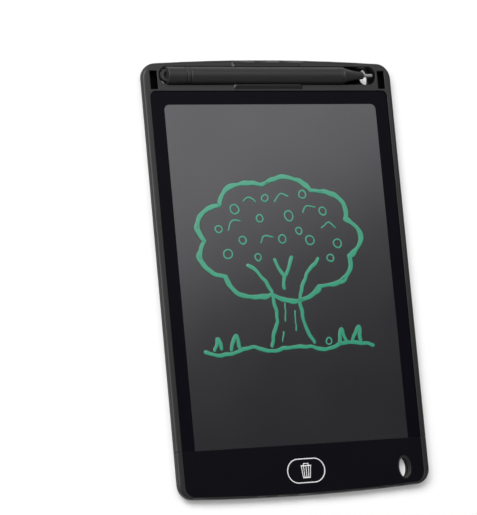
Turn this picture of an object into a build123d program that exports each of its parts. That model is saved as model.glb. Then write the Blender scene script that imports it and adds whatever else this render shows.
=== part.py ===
from build123d import *
import os

os.makedirs("parts", exist_ok=True)

# The tablet lies on its back, in millimetres: +Z out of the screen, +Y towards the pen, +X to the right.
# The origin is in the middle of the outline, on the plane of the rear pads.

# Case outline
case_width = 145.0
case_length = 225.5
case_corner_radius = 8.0
end_sag = 2.2
case_height = 5.4
front_round = 1.5
back_round = 2.15
case_wall = 1.6
frame_height = 2.0
tongue_wall = 0.8
seam_gap = 0.15
fit_gap = 0.1

# Screen opening and its films
side_rim = 3.5
top_bar = 16.4
lower_panel_length = 26.05
opening_corner_radius = 3.2
film_gap = 0.3
film_recess = 0.4
border_width = 7.35
border_top = 6.95
border_thickness = 0.2
display_corner_radius = 2.9
writing_film_thickness = 0.35
crystal_thickness = 0.1
rear_film_thickness = 0.25
backing_thickness = 0.1
tape_thickness = 0.1
tape_width = 5.0
board_end_gap = 4.0

# Back cover
pad_height = 0.9
pad_wall = 0.9
pad_side_inset = 3.0
pad_end_inset = 1.7
pad_corner_radius = 6.5
upper_pad_inner_radius = 2.0
pad_edge_round = 0.4
recess_depth = 0.7
recess_side_inset = 4.5
recess_corner_radius = 2.0
recess_top_gap = 2.2
recess_bottom_gap = 3.3
floor_wall = 1.0
divider_wall = 1.25
pad_seam_gap = 2.85
upper_pad_inset = 14.5

# Pen slot
pen_diameter = 9.0
pen_gap = 0.3
slot_side_inset = 9.3
slot_end_inset = 8.4
lip_length = 40.0
lip_shift = 1.2
lip_height = 0.8
lip_depth = 2.5
lip_crest = 0.8
lip_gap = 0.08
lip_edge_round = 0.3
lip_slant = 1.2
window_length = 55.0
window_ledge = 0.9
oval_width = 4.6
oval_height = 9.6
oval_end_inset = 4.9
oval_drop = 0.5
pocket_width = 4.1
pocket_length = 9.5
pocket_side_inset = 4.2
pocket_screen_gap = 1.0
pocket_depth = 3.8

# Pen
loop_gap = 0.4
nib_gap = 2.0
loop_radius = 3.1
loop_hole_radius = 2.0
loop_hole_sink = 0.6
loop_thickness = 2.6
loop_reach = 3.3
cap_length = 11.8
cap_edge_round = 0.4
groove_offset = 1.15
groove_width = 1.0
groove_depth = 0.55
collar_length = 2.5
collar_groove_width = 0.7
collar_groove_depth = 0.35
nose_length = 12.0
nose_waist_share = 0.45
nose_waist_radius = 2.8
nose_tip_radius = 1.85
nose_tip_round = 0.3
nib_length = 5.8
nib_radius = 0.9
nib_tip_round = 0.65
nib_seat = 6.0
barrel_wall = 1.0
spigot_length = 5.0
spigot_gap = 0.05

# Lower front panel and erase button
panel_drop = 0.3
overlay_thickness = 0.4
shelf_thickness = 0.8
panel_end_rim = 1.3
panel_corner_radius = 5.3
overlay_gap = 0.1
button_drop = 0.45
ring_length = 21.9
ring_width = 12.6
ring_line = 0.48
ring_proud = 0.05
button_gap = 0.15
button_travel = 0.35
flange_lap = 1.15
flange_gap = 0.1
flange_thickness = 0.4
button_edge_round = 0.2
icon_height = 7.6
icon_width = 6.1
icon_line = 0.38
icon_base_line = 0.65
icon_corner_radius = 0.4
icon_taper = 0.75
icon_handle_width = 3.1
icon_handle_height = 1.0
icon_thickness = 0.08

# Strap hole
strap_side_inset = 14.7
strap_end_inset = 11.0
strap_width = 6.2
strap_length = 10.6
strap_collar = 0.7
strap_edge_round = 0.3
strap_tube_wall = 1.0

# Housing screws
housing_screw_side_inset = 4.1
housing_screw_seam_gap = 2.25
housing_screw_pocket_radius = 2.05
housing_screw_pocket_depth = 1.2
housing_screw_column_radius = 2.7
housing_screw_head_radius = 1.7
housing_screw_head_height = 1.1
housing_screw_radius = 0.8
housing_screw_length = 2.3
screw_gap = 0.05
screw_clamp_wall = 1.2
screw_slot_share = 0.3

# Circuit board
board_door_gap = 2.1
board_strap_gap = 12.75
board_pad_gap = 3.2
board_end_inset = 3.9
board_lift = 0.6
board_thickness = 0.8
board_screw_radius = 0.6
board_screw_head_radius = 1.2
board_screw_head_height = 0.6
board_screw_length = 1.8
board_screw_inset = 2.0
board_boss_radius = 1.6
switch_size = 6.0
switch_height = 0.7
plunger_radius = 1.5
plunger_rest_gap = 0.05
plunger_gap = 0.02
plunger_side_gap = 0.08
chip_length = 5.0
chip_width = 4.0
chip_height = 1.0
chip_key_gap = 1.35
passive_length = 1.6
passive_width = 0.8
passive_height = 0.6
passive_pitch = 4.0
passive_count = 5
passive_edge_inset = 2.4
chip_leg_length = 1.0
chip_leg_width = 0.4
chip_leg_thickness = 0.2
chip_leg_pitch = 1.1
chip_leg_count = 4
connector_length = 10.0
connector_width = 3.0
connector_height = 1.0
connector_offset = 1.0
connector_edge_inset = 0.6
tail_width = 8.0
tail_thickness = 0.15
tail_clearance = 0.15
tail_lap = 3.0
tail_seat = 1.5
tail_run_share = 4.0

# Battery bay, its door and the contacts
cell_side_inset = 35.5
cell_end_inset = 3.0
cell_radius = 8.0
cell_thickness = 1.6
cell_edge_round = 0.3
cell_gap = 0.3
bay_ring_wall = 0.8
bay_ring_height = 1.7
bay_mouth = 11.0
door_left_margin = 2.5
door_right_margin = 7.5
door_side_margin = 0.5
door_thickness = 0.8
door_corner_radius = 2.0
door_gap = 0.1
door_rib_height = 0.3
door_rib_width = 1.0
door_rib_spacing = 8.0
door_rib_length = 11.0
door_tab_reach = 1.5
door_tab_root = 1.1
door_tab_width = 8.0
door_tab_thickness = 0.6
door_ledge_size = 3.2
door_ledge_height = 0.7
door_screw_inset = 3.0
door_screw_head_radius = 1.6
door_screw_head_height = 0.8
door_screw_pocket_radius = 1.75
door_screw_pocket_depth = 0.9
door_screw_boss_height = 0.6
door_screw_boss_radius = 2.4
door_screw_radius = 0.7
door_screw_length = 2.6
contact_thickness = 0.2
contact_width = 3.0
contact_lift = 0.05
contact_offset = 4.5
contact_reach = 3.0
contact_foot = 2.5
dimple_radius = 1.2
blade_width = 4.5
blade_offset = 2.7
blade_height = 1.2
cell_cap_radius = 7.0
cell_cap_height = 0.3
board_corner_radius = 1.0

# Places worked out from the sizes above
half_width = case_width / 2
half_length = case_length / 2
seam_y = -half_length + lower_panel_length
opening_top_y = half_length - top_bar
opening_half = half_width - side_rim
divider_y = seam_y - divider_wall
lower_pad_top_y = seam_y - pad_seam_gap
upper_pad_bottom_y = half_length - upper_pad_inset
pad_half = half_width - pad_side_inset
tray_half = half_width - case_wall
tray_top_y = opening_top_y + case_wall / 2

parting_z = case_height - frame_height
tray_z = pad_height + recess_depth + floor_wall
ledge_z = pad_height + pad_wall
film_top_z = case_height - film_recess
panel_z = case_height - panel_drop
shelf_top_z = panel_z - overlay_thickness
shelf_bottom_z = shelf_top_z - shelf_thickness
board_z = pad_wall + board_lift
board_top_z = board_z + board_thickness

pen_radius = pen_diameter / 2
slot_radius = pen_radius + pen_gap
slot_half = half_width - slot_side_inset
pen_y = half_length - slot_end_inset
pen_z = case_height
pen_plane = Plane(origin=(0, pen_y, pen_z), x_dir=(1, 0, 0), z_dir=(0, -1, 0))
pen_axis = Axis((0, pen_y, pen_z), (1, 0, 0))

button_y = (seam_y - half_length) / 2 - button_drop
strap_x = half_width - strap_side_inset
strap_y = -half_length + strap_end_inset
housing_screw_x = half_width - housing_screw_side_inset
housing_screw_y = seam_y - housing_screw_seam_gap
housing_screws_at = [(-housing_screw_x, housing_screw_y), (housing_screw_x, housing_screw_y)]
pocket_x = half_width - pocket_side_inset - pocket_width / 2
pocket_y = opening_top_y + pocket_screen_gap + pocket_length / 2
pockets_at = [(-pocket_x, pocket_y), (pocket_x, pocket_y)]

key_length = ring_length - 2 * ring_line - 2 * button_gap
key_width = ring_width - 2 * ring_line - 2 * button_gap
cell_x = -half_width + cell_side_inset
door_length = 2 * cell_radius + door_left_margin + door_right_margin
door_width = 2 * cell_radius + 2 * door_side_margin
door_x = cell_x + (door_right_margin - door_left_margin) / 2
door_screw_x = door_x + door_length / 2 - door_screw_inset
board_left = door_screw_x + door_screw_boss_radius + board_door_gap
board_right = strap_x - strap_width / 2 - strap_tube_wall - board_strap_gap
board_length = board_right - board_left
board_bottom_y = -half_length + board_end_inset
board_top_y = lower_pad_top_y - board_pad_gap
board_width = board_top_y - board_bottom_y
board_y = (board_top_y + board_bottom_y) / 2
passive_y = board_bottom_y + passive_edge_inset
connector_y = board_top_y - connector_edge_inset - connector_width / 2
chip_y = (connector_y - connector_width / 2 + passive_y + passive_width / 2) / 2
chip_x = key_length / 2 + flange_lap + chip_key_gap + chip_leg_length + chip_length / 2
connector_x = chip_x + connector_offset


def end_drop(x):
    # How far the curved end edge has fallen back at a distance x from the middle
    return end_sag * (x / half_width) ** 2


cell_y = -half_length + end_drop(cell_x) + cell_end_inset + cell_radius


def end_panel(half_span, inner_y, end_inset, inner_radius, outer_radius, side):
    # A panel at one end of the case: straight towards the middle, curved along the case's end edge
    edge_y = side * (half_length - end_inset)
    shoulder_y = side * (half_length - end_inset - end_drop(half_span))
    with BuildSketch() as panel:
        with BuildLine():
            Line((half_span, shoulder_y), (half_span, inner_y))
            Line((half_span, inner_y), (-half_span, inner_y))
            Line((-half_span, inner_y), (-half_span, shoulder_y))
            ThreePointArc((-half_span, shoulder_y), (0, edge_y), (half_span, shoulder_y))
        make_face()
        rows = panel.vertices().group_by(Axis.Y)
        fillet(rows[-1] if side > 0 else rows[0], outer_radius)
        if inner_radius > 0:
            rows = panel.vertices().group_by(Axis.Y)
            fillet(rows[0] if side > 0 else rows[-1], inner_radius)
    return panel.sketch


def ribbon(points, thickness):
    # Corners of a thin bent strip that follows the points, half its thickness above and below them
    above = [(u, v + thickness / 2) for u, v in points]
    below = [(u, v - thickness / 2) for u, v in points]
    return above + below[::-1] + above[:1]


# Outlines that several pieces share
with BuildSketch() as case_outline:
    with BuildLine():
        shoulder = half_length - end_sag
        Line((half_width, -shoulder), (half_width, shoulder))
        ThreePointArc((half_width, shoulder), (0, half_length), (-half_width, shoulder))
        Line((-half_width, shoulder), (-half_width, -shoulder))
        ThreePointArc((-half_width, -shoulder), (0, -half_length), (half_width, -shoulder))
    make_face()
    fillet(case_outline.vertices(), case_corner_radius)

lower_pad_outline = end_panel(
    pad_half, lower_pad_top_y, pad_end_inset, pad_corner_radius, pad_corner_radius, -1
)
upper_pad_outline = end_panel(
    pad_half, upper_pad_bottom_y, pad_end_inset, upper_pad_inner_radius, pad_corner_radius, 1
)
panel_outline = end_panel(opening_half, seam_y, panel_end_rim, 0, panel_corner_radius, -1)
chamber_outline = end_panel(tray_half, divider_y, case_wall, case_wall, case_corner_radius - case_wall, -1)
deep_outline = end_panel(
    pad_half - pad_wall,
    lower_pad_top_y - pad_wall,
    pad_end_inset + pad_wall,
    pad_corner_radius - pad_wall,
    pad_corner_radius - pad_wall,
    -1,
)

# The round-ended space that the pen lies in
with BuildPart() as pen_space:
    with BuildSketch(pen_plane):
        with BuildLine():
            straight_half = slot_half - slot_radius
            Line((-straight_half, slot_radius), (straight_half, slot_radius))
            TangentArc((straight_half, slot_radius), (slot_half, 0), tangent=(1, 0))
            Line((slot_half, 0), (-slot_half, 0))
            TangentArc((-straight_half, slot_radius), (-slot_half, 0), tangent=(-1, 0))
        make_face()
    revolve(axis=pen_axis)

# Front frame: the front of the case above the seam, with the pen slot and its lips
with BuildPart() as front_frame:
    with BuildSketch(Plane.XY.offset(parting_z)):
        add(case_outline.sketch)
    extrude(amount=frame_height)
    fillet(front_frame.edges().group_by(Axis.Z)[-1], front_round)
    opening_length = opening_top_y + half_length
    with BuildSketch(Plane.XY.offset(parting_z)) as screen_opening:
        with Locations((0, opening_top_y - opening_length / 2)):
            Rectangle(2 * opening_half, opening_length)
        fillet(screen_opening.vertices().group_by(Axis.Y)[-1], opening_corner_radius)
    extrude(amount=frame_height, mode=Mode.SUBTRACT)
    split(bisect_by=Plane(origin=(0, seam_y, 0), z_dir=(0, 1, 0)), keep=Keep.TOP)

    add(pen_space.part, mode=Mode.SUBTRACT)
    with BuildSketch(Plane.XY.offset(case_height)):
        with Locations(*pockets_at):
            Rectangle(pocket_width, pocket_length)
    extrude(amount=-frame_height, mode=Mode.SUBTRACT)

    # Lips along the middle of the slot, upright towards the pen and sloping away from it
    for side in (-1, 1):
        lip_face_y = pen_y + side * (pen_radius + lip_gap)
        with BuildSketch(Plane.XY.offset(case_height)):
            with Locations((-lip_shift, lip_face_y + side * lip_depth / 2)):
                Rectangle(lip_length, lip_depth)
        with BuildSketch(Plane.XY.offset(case_height + lip_height)):
            with Locations((-lip_shift, lip_face_y + side * lip_crest / 2)):
                Rectangle(lip_length - 2 * lip_slant, lip_crest)
        loft()
    fillet(front_frame.edges().group_by(Axis.Z)[-1], lip_edge_round)

    # Tongues that drop inside the side walls of the back cover
    tongue_x = tray_half - fit_gap - tongue_wall / 2
    tongue_length = opening_top_y - seam_y - 2 * case_corner_radius
    tongue_y = (opening_top_y + seam_y) / 2
    with BuildSketch(Plane.XY.offset(parting_z)):
        with Locations((-tongue_x, tongue_y), (tongue_x, tongue_y)):
            Rectangle(tongue_wall, tongue_length)
    extrude(amount=tray_z + fit_gap - parting_z)

front_frame.part.label = "front_frame"
export_step(front_frame.part, "parts/front_frame.step")

# Back cover: side walls, screen tray, electronics chamber, pen trough and pads
with BuildPart() as back_cover:
    with BuildSketch(Plane.XY.offset(pad_height)):
        add(case_outline.sketch)
    extrude(amount=parting_z - pad_height)
    fillet(back_cover.edges().group_by(Axis.Z)[0], back_round)
    with BuildSketch():
        add(lower_pad_outline)
        add(upper_pad_outline)
    extrude(amount=pad_height + back_round / 2)
    fillet(back_cover.edges().group_by(Axis.Z)[0], pad_edge_round)

    # Shallow recess over the middle of the back
    recess_top_y = upper_pad_bottom_y - recess_top_gap
    recess_bottom_y = lower_pad_top_y + recess_bottom_gap
    recess_width = case_width - 2 * recess_side_inset
    with BuildSketch(Plane.XY.offset(pad_height)):
        with Locations((0, (recess_top_y + recess_bottom_y) / 2)):
            RectangleRounded(recess_width, recess_top_y - recess_bottom_y, recess_corner_radius)
    extrude(amount=recess_depth, mode=Mode.SUBTRACT)

    # Tray for the screen films
    with BuildSketch(Plane.XY.offset(tray_z)):
        with Locations((0, (tray_top_y + seam_y) / 2)):
            RectangleRounded(2 * tray_half, tray_top_y - seam_y, case_wall)
    extrude(amount=parting_z - tray_z, mode=Mode.SUBTRACT)

    # Chamber for the electronics, deeper over the lower pad
    with BuildSketch(Plane.XY.offset(ledge_z)):
        add(chamber_outline)
    extrude(amount=parting_z - ledge_z, mode=Mode.SUBTRACT)
    with BuildSketch(Plane.XY.offset(pad_wall)):
        add(deep_outline)
    extrude(amount=parting_z - pad_wall, mode=Mode.SUBTRACT)

    # Pen trough, the window behind the pen, an oval behind each of its ends and the corner pockets
    add(pen_space.part, mode=Mode.SUBTRACT)
    oval_x = slot_half - oval_end_inset
    with BuildSketch():
        with Locations((0, pen_y)):
            SlotOverall(window_length, 2 * (slot_radius - window_ledge))
        with Locations((-oval_x, pen_y - oval_drop), (oval_x, pen_y - oval_drop)):
            Ellipse(oval_width / 2, oval_height / 2)
    extrude(amount=parting_z, mode=Mode.SUBTRACT)
    with BuildSketch(Plane.XY.offset(case_height - pocket_depth)):
        with Locations(*pockets_at):
            Rectangle(pocket_width, pocket_length)
    extrude(amount=pocket_depth, mode=Mode.SUBTRACT)

    # Columns for the housing screws, each with a pocket for the head
    pocket_top_z = pad_height + housing_screw_pocket_depth
    column_top_z = pocket_top_z + screw_clamp_wall
    with BuildSketch(Plane.XY.offset(ledge_z)):
        with Locations(*housing_screws_at):
            Circle(housing_screw_column_radius)
    extrude(amount=column_top_z - ledge_z)
    with BuildSketch(Plane.XY.offset(pad_height)):
        with Locations(*housing_screws_at):
            Circle(housing_screw_pocket_radius)
    extrude(amount=housing_screw_pocket_depth, mode=Mode.SUBTRACT)
    with BuildSketch(Plane.XY.offset(pocket_top_z)):
        with Locations(*housing_screws_at):
            Circle(housing_screw_radius + screw_gap)
    extrude(amount=screw_clamp_wall, mode=Mode.SUBTRACT)

    # Strap hole and the tube that lines it
    with BuildSketch(Plane.XY.offset(pad_wall)):
        with Locations((strap_x, strap_y)):
            Ellipse(strap_width / 2 + strap_tube_wall, strap_length / 2 + strap_tube_wall)
    extrude(amount=parting_z - pad_wall)
    with BuildSketch():
        with Locations((strap_x, strap_y)):
            Ellipse(strap_width / 2, strap_length / 2)
    extrude(amount=parting_z, mode=Mode.SUBTRACT)

    # Bosses under the circuit board
    left_screw_x = board_left + contact_foot + contact_width + board_screw_inset
    right_screw_x = board_right - board_screw_inset
    board_screws_at = [
        (left_screw_x, board_bottom_y + board_screw_inset),
        (right_screw_x, board_top_y - board_screw_inset),
    ]
    board_screw_tip_z = board_top_z - board_screw_length
    with BuildSketch(Plane.XY.offset(pad_wall)):
        with Locations(*board_screws_at):
            Circle(board_boss_radius)
    extrude(amount=board_lift)
    with BuildSketch(Plane.XY.offset(board_screw_tip_z - screw_gap)):
        with Locations(*board_screws_at):
            Circle(board_screw_radius + screw_gap)
    extrude(amount=board_z - board_screw_tip_z + screw_gap, mode=Mode.SUBTRACT)

    # Battery bay: the door's opening with a ledge at each corner, and a ring round the cell
    with BuildSketch():
        with Locations((door_x, cell_y)):
            RectangleRounded(door_length + 2 * door_gap, door_width + 2 * door_gap, door_corner_radius)
    extrude(amount=pad_wall, mode=Mode.SUBTRACT)
    with BuildSketch(Plane.XY.offset(door_thickness)):
        with Locations((door_x, cell_y)):
            with GridLocations(door_length, door_width, 2, 2):
                Rectangle(door_ledge_size, door_ledge_size)
    extrude(amount=door_ledge_height)
    bay_radius = cell_radius + cell_gap
    with BuildSketch(Plane.XY.offset(pad_wall)):
        with Locations((cell_x, cell_y)):
            Circle(bay_radius + bay_ring_wall)
            Circle(bay_radius, mode=Mode.SUBTRACT)
        with Locations((cell_x + bay_radius, cell_y)):
            Rectangle(bay_radius, bay_mouth, mode=Mode.SUBTRACT)
    extrude(amount=bay_ring_height)
    with BuildSketch(Plane.XY.offset(pad_wall)):
        with Locations((cell_x, cell_y)):
            Circle(bay_radius)
    extrude(amount=parting_z - pad_wall, mode=Mode.SUBTRACT)

back_cover.part.label = "back_cover"
export_step(back_cover.part, "parts/back_cover.step")

# Lower front cover: the front of the case below the seam, with a shelf for the glossy panel
with BuildPart() as lower_front_cover:
    with BuildSketch(Plane.XY.offset(parting_z)):
        add(case_outline.sketch)
    extrude(amount=frame_height)
    fillet(lower_front_cover.edges().group_by(Axis.Z)[-1], front_round)
    with BuildSketch(Plane.XY.offset(shelf_top_z)):
        add(panel_outline)
    extrude(amount=case_height - shelf_top_z, mode=Mode.SUBTRACT)
    with BuildSketch(Plane.XY.offset(parting_z)):
        add(panel_outline)
    extrude(amount=shelf_bottom_z - parting_z, mode=Mode.SUBTRACT)
    cover_edge_y = seam_y - seam_gap
    split(bisect_by=Plane(origin=(0, cover_edge_y, 0), z_dir=(0, 1, 0)), keep=Keep.BOTTOM)

    # Tube and collar of the strap hole, and the opening for the button
    with BuildSketch(Plane.XY.offset(parting_z)):
        with Locations((strap_x, strap_y)):
            Ellipse(strap_width / 2 + strap_tube_wall, strap_length / 2 + strap_tube_wall)
    extrude(amount=shelf_bottom_z - parting_z)
    with BuildSketch(Plane.XY.offset(shelf_bottom_z)):
        with Locations((strap_x, strap_y)):
            Ellipse(strap_width / 2 + strap_collar, strap_length / 2 + strap_collar)
    extrude(amount=panel_z - shelf_bottom_z)
    with BuildSketch(Plane.XY.offset(parting_z)):
        with Locations((strap_x, strap_y)):
            Ellipse(strap_width / 2, strap_length / 2)
        with Locations((0, button_y)):
            SlotOverall(ring_length - 2 * ring_line, ring_width - 2 * ring_line)
    extrude(amount=panel_z - parting_z, mode=Mode.SUBTRACT)
    collar_edges = lower_front_cover.edges().filter_by_position(Axis.Z, panel_z, panel_z)
    fillet(collar_edges.sort_by(SortBy.LENGTH)[0], strap_edge_round)

    # Bosses for the two housing screws and for the screw of the battery door
    boss_bottom_z = column_top_z + fit_gap
    with BuildSketch(Plane.XY.offset(boss_bottom_z)):
        with Locations(*housing_screws_at):
            Circle(housing_screw_pocket_radius)
    extrude(amount=shelf_bottom_z - boss_bottom_z)
    with BuildSketch(Plane.XY.offset(boss_bottom_z)):
        with Locations(*housing_screws_at):
            Circle(housing_screw_radius + screw_gap)
    extrude(amount=pocket_top_z + housing_screw_length + screw_gap - boss_bottom_z, mode=Mode.SUBTRACT)
    door_boss_z = door_thickness + door_screw_boss_height
    post_z = door_boss_z + fit_gap
    door_screw_tip_z = door_screw_pocket_depth + door_screw_length
    with BuildSketch(Plane.XY.offset(post_z)):
        with Locations((door_screw_x, cell_y)):
            Circle(door_screw_boss_radius)
    extrude(amount=shelf_bottom_z - post_z)
    with BuildSketch(Plane.XY.offset(post_z)):
        with Locations((door_screw_x, cell_y)):
            Circle(door_screw_radius + screw_gap)
    extrude(amount=door_screw_tip_z + screw_gap - post_z, mode=Mode.SUBTRACT)

lower_front_cover.part.label = "lower_front_cover"
export_step(lower_front_cover.part, "parts/lower_front_cover.step")

# Glossy panel that fills the lower front
with BuildPart() as panel_overlay:
    with BuildSketch(Plane.XY.offset(shelf_top_z)) as overlay_face:
        add(panel_outline)
        offset(amount=-overlay_gap, mode=Mode.REPLACE)
        overlay_edge = Plane(origin=(0, cover_edge_y, 0), z_dir=(0, 1, 0))
        split(bisect_by=overlay_edge, keep=Keep.BOTTOM)
        with Locations((strap_x, strap_y)):
            strap_rim = strap_collar + overlay_gap
            Ellipse(strap_width / 2 + strap_rim, strap_length / 2 + strap_rim, mode=Mode.SUBTRACT)
        with Locations((0, button_y)):
            SlotOverall(ring_length + 2 * overlay_gap, ring_width + 2 * overlay_gap, mode=Mode.SUBTRACT)
    extrude(amount=overlay_thickness)

panel_overlay.part.label = "panel_overlay"
export_step(panel_overlay.part, "parts/panel_overlay.step")

# White ring round the button
with BuildPart() as button_ring:
    with BuildSketch(Plane.XY.offset(shelf_top_z)):
        with Locations((0, button_y)):
            SlotOverall(ring_length, ring_width)
            SlotOverall(ring_length - 2 * ring_line, ring_width - 2 * ring_line, mode=Mode.SUBTRACT)
    extrude(amount=overlay_thickness + ring_proud)

button_ring.part.label = "button_ring"
export_step(button_ring.part, "parts/button_ring.step")

# Erase button: a key with a flange that keeps it behind the shelf
flange_top_z = shelf_bottom_z - flange_gap
key_bottom_z = flange_top_z - flange_thickness
with BuildPart() as erase_button:
    with BuildSketch(Plane.XY.offset(key_bottom_z)):
        with Locations((0, button_y)):
            SlotOverall(key_length, key_width)
    extrude(amount=panel_z - key_bottom_z)
    fillet(erase_button.edges().group_by(Axis.Z)[-1], button_edge_round)
    with BuildSketch(Plane.XY.offset(key_bottom_z)):
        with Locations((0, button_y)):
            SlotOverall(key_length + 2 * flange_lap, key_width + 2 * flange_lap)
    extrude(amount=flange_thickness)

erase_button.part.label = "erase_button"
export_step(erase_button.part, "parts/erase_button.step")

# Waste bin mark on the button: a tapered body with three bars, a lid and an open handle
with BuildPart() as button_mark:
    mark_top_y = button_y + icon_height / 2
    mark_bottom_y = button_y - icon_height / 2
    lid_y = mark_top_y - icon_handle_height - icon_line / 2
    bin_top_half = icon_width / 2 - icon_line / 2
    bin_bottom_half = bin_top_half * icon_taper
    with BuildSketch(Plane.XY.offset(panel_z)) as mark_face:
        with BuildLine():
            Polyline(
                (-bin_top_half, lid_y),
                (bin_top_half, lid_y),
                (bin_bottom_half, mark_bottom_y),
                (-bin_bottom_half, mark_bottom_y),
                close=True,
            )
        make_face()
        offset(amount=-icon_line, kind=Kind.INTERSECTION, mode=Mode.SUBTRACT)
        for share in (-1 / 2, 0, 1 / 2):
            with BuildLine():
                Polyline(
                    (share * bin_top_half - icon_line / 2, lid_y),
                    (share * bin_top_half + icon_line / 2, lid_y),
                    (share * bin_bottom_half + icon_line / 2, mark_bottom_y),
                    (share * bin_bottom_half - icon_line / 2, mark_bottom_y),
                    close=True,
                )
            make_face()
        with Locations((0, mark_bottom_y)):
            Rectangle(2 * bin_bottom_half, icon_base_line, align=(Align.CENTER, Align.MIN))
        fillet(mark_face.vertices().group_by(Axis.Y)[0], icon_corner_radius)
        handle_bottom_y = mark_top_y - icon_handle_height
        with Locations((0, handle_bottom_y)):
            Rectangle(icon_handle_width, icon_handle_height, align=(Align.CENTER, Align.MIN))
            Rectangle(
                icon_handle_width - 2 * icon_line,
                icon_handle_height - icon_line,
                align=(Align.CENTER, Align.MIN),
                mode=Mode.SUBTRACT,
            )
        with Locations((0, lid_y)):
            Rectangle(icon_width, icon_line)
    extrude(amount=icon_thickness)

button_mark.part.label = "button_mark"
export_step(button_mark.part, "parts/button_mark.step")

# Screen stack, from the front: border, writing film, liquid crystal, rear film, backing, tape and board
film_half = opening_half - film_gap
film_top_y = opening_top_y - film_gap
film_bottom_y = cover_edge_y + fit_gap
film_length = film_top_y - film_bottom_y
film_middle_y = (film_top_y + film_bottom_y) / 2
film_corner_radius = opening_corner_radius - film_gap
writing_film_z = film_top_z - border_thickness - writing_film_thickness
crystal_z = writing_film_z - crystal_thickness
rear_film_z = crystal_z - rear_film_thickness
backing_z = rear_film_z - backing_thickness
tape_z = backing_z - tape_thickness

with BuildSketch() as film_outline:
    with Locations((0, film_middle_y)):
        Rectangle(2 * film_half, film_length)
    fillet(film_outline.vertices().group_by(Axis.Y)[-1], film_corner_radius)

board_stack_length = film_length - board_end_gap
board_stack_y = film_top_y - board_stack_length / 2
with BuildSketch() as board_outline:
    with Locations((0, board_stack_y)):
        Rectangle(2 * film_half, board_stack_length)
    fillet(board_outline.vertices().group_by(Axis.Y)[-1], film_corner_radius)

with BuildPart() as border_mask:
    display_half = opening_half - border_width
    display_length = film_length - border_top + film_gap
    with BuildSketch(Plane.XY.offset(film_top_z - border_thickness)):
        add(film_outline.sketch)
        with BuildSketch(mode=Mode.SUBTRACT) as display_window:
            with Locations((0, film_bottom_y + display_length / 2)):
                Rectangle(2 * display_half, display_length)
            fillet(display_window.vertices().group_by(Axis.Y)[-1], display_corner_radius)
    extrude(amount=border_thickness)

border_mask.part.label = "border_mask"
export_step(border_mask.part, "parts/border_mask.step")

with BuildPart() as writing_film:
    with BuildSketch(Plane.XY.offset(writing_film_z)):
        add(film_outline.sketch)
    extrude(amount=writing_film_thickness)

writing_film.part.label = "writing_film"
export_step(writing_film.part, "parts/writing_film.step")

with BuildPart() as crystal_layer:
    with BuildSketch(Plane.XY.offset(crystal_z)):
        add(film_outline.sketch)
    extrude(amount=crystal_thickness)

crystal_layer.part.label = "crystal_layer"
export_step(crystal_layer.part, "parts/crystal_layer.step")

with BuildPart() as rear_film:
    with BuildSketch(Plane.XY.offset(rear_film_z)):
        add(film_outline.sketch)
    extrude(amount=rear_film_thickness)

rear_film.part.label = "rear_film"
export_step(rear_film.part, "parts/rear_film.step")

with BuildPart() as backing_sheet:
    with BuildSketch(Plane.XY.offset(backing_z)):
        add(board_outline.sketch)
    extrude(amount=backing_thickness)

backing_sheet.part.label = "backing_sheet"
export_step(backing_sheet.part, "parts/backing_sheet.step")

with BuildPart() as edge_tape:
    with BuildSketch(Plane.XY.offset(tape_z)):
        add(board_outline.sketch)
        offset(amount=-tape_width, kind=Kind.INTERSECTION, mode=Mode.SUBTRACT)
    extrude(amount=tape_thickness)

edge_tape.part.label = "edge_tape"
export_step(edge_tape.part, "parts/edge_tape.step")

with BuildPart() as support_board:
    with BuildSketch(Plane.XY.offset(tray_z)):
        add(board_outline.sketch)
    extrude(amount=tape_z - tray_z)

support_board.part.label = "support_board"
export_step(support_board.part, "parts/support_board.step")

# Circuit board and what is soldered to it
with BuildPart() as circuit_board:
    with BuildSketch(Plane.XY.offset(board_z)):
        with Locations(((board_left + board_right) / 2, board_y)):
            RectangleRounded(board_length, board_width, board_corner_radius)
        with Locations(*board_screws_at):
            Circle(board_screw_radius + screw_gap, mode=Mode.SUBTRACT)
    extrude(amount=board_thickness)

circuit_board.part.label = "circuit_board"
export_step(circuit_board.part, "parts/circuit_board.step")

with BuildPart() as switch_body:
    with BuildSketch(Plane.XY.offset(board_top_z)):
        with Locations((0, button_y)):
            Rectangle(switch_size, switch_size)
            Circle(plunger_radius + plunger_side_gap, mode=Mode.SUBTRACT)
    extrude(amount=switch_height)

switch_body.part.label = "switch_body"
export_step(switch_body.part, "parts/switch_body.step")

with BuildPart() as switch_plunger:
    plunger_bottom_z = board_top_z + button_travel + plunger_rest_gap
    plunger_top_z = key_bottom_z - plunger_gap
    with BuildSketch(Plane.XY.offset(plunger_bottom_z)):
        with Locations((0, button_y)):
            Circle(plunger_radius)
    extrude(amount=plunger_top_z - plunger_bottom_z)

switch_plunger.part.label = "switch_plunger"
export_step(switch_plunger.part, "parts/switch_plunger.step")

with BuildPart() as control_chip:
    with BuildSketch(Plane.XY.offset(board_top_z)):
        with Locations((chip_x, chip_y)):
            Rectangle(chip_length, chip_width)
    extrude(amount=chip_height)
    with BuildSketch(Plane.XY.offset(board_top_z)):
        with Locations((chip_x, chip_y)):
            with GridLocations(chip_length + chip_leg_length, chip_leg_pitch, 2, chip_leg_count):
                Rectangle(chip_leg_length, chip_leg_width)
    extrude(amount=chip_leg_thickness)

control_chip.part.label = "control_chip"
export_step(control_chip.part, "parts/control_chip.step")

with BuildPart() as board_passives:
    with BuildSketch(Plane.XY.offset(board_top_z)):
        with Locations((chip_x, passive_y)):
            with GridLocations(passive_pitch, 0, passive_count, 1):
                Rectangle(passive_length, passive_width)
    extrude(amount=passive_height)

board_passives.part.label = "board_passives"
export_step(board_passives.part, "parts/board_passives.step")

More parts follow.
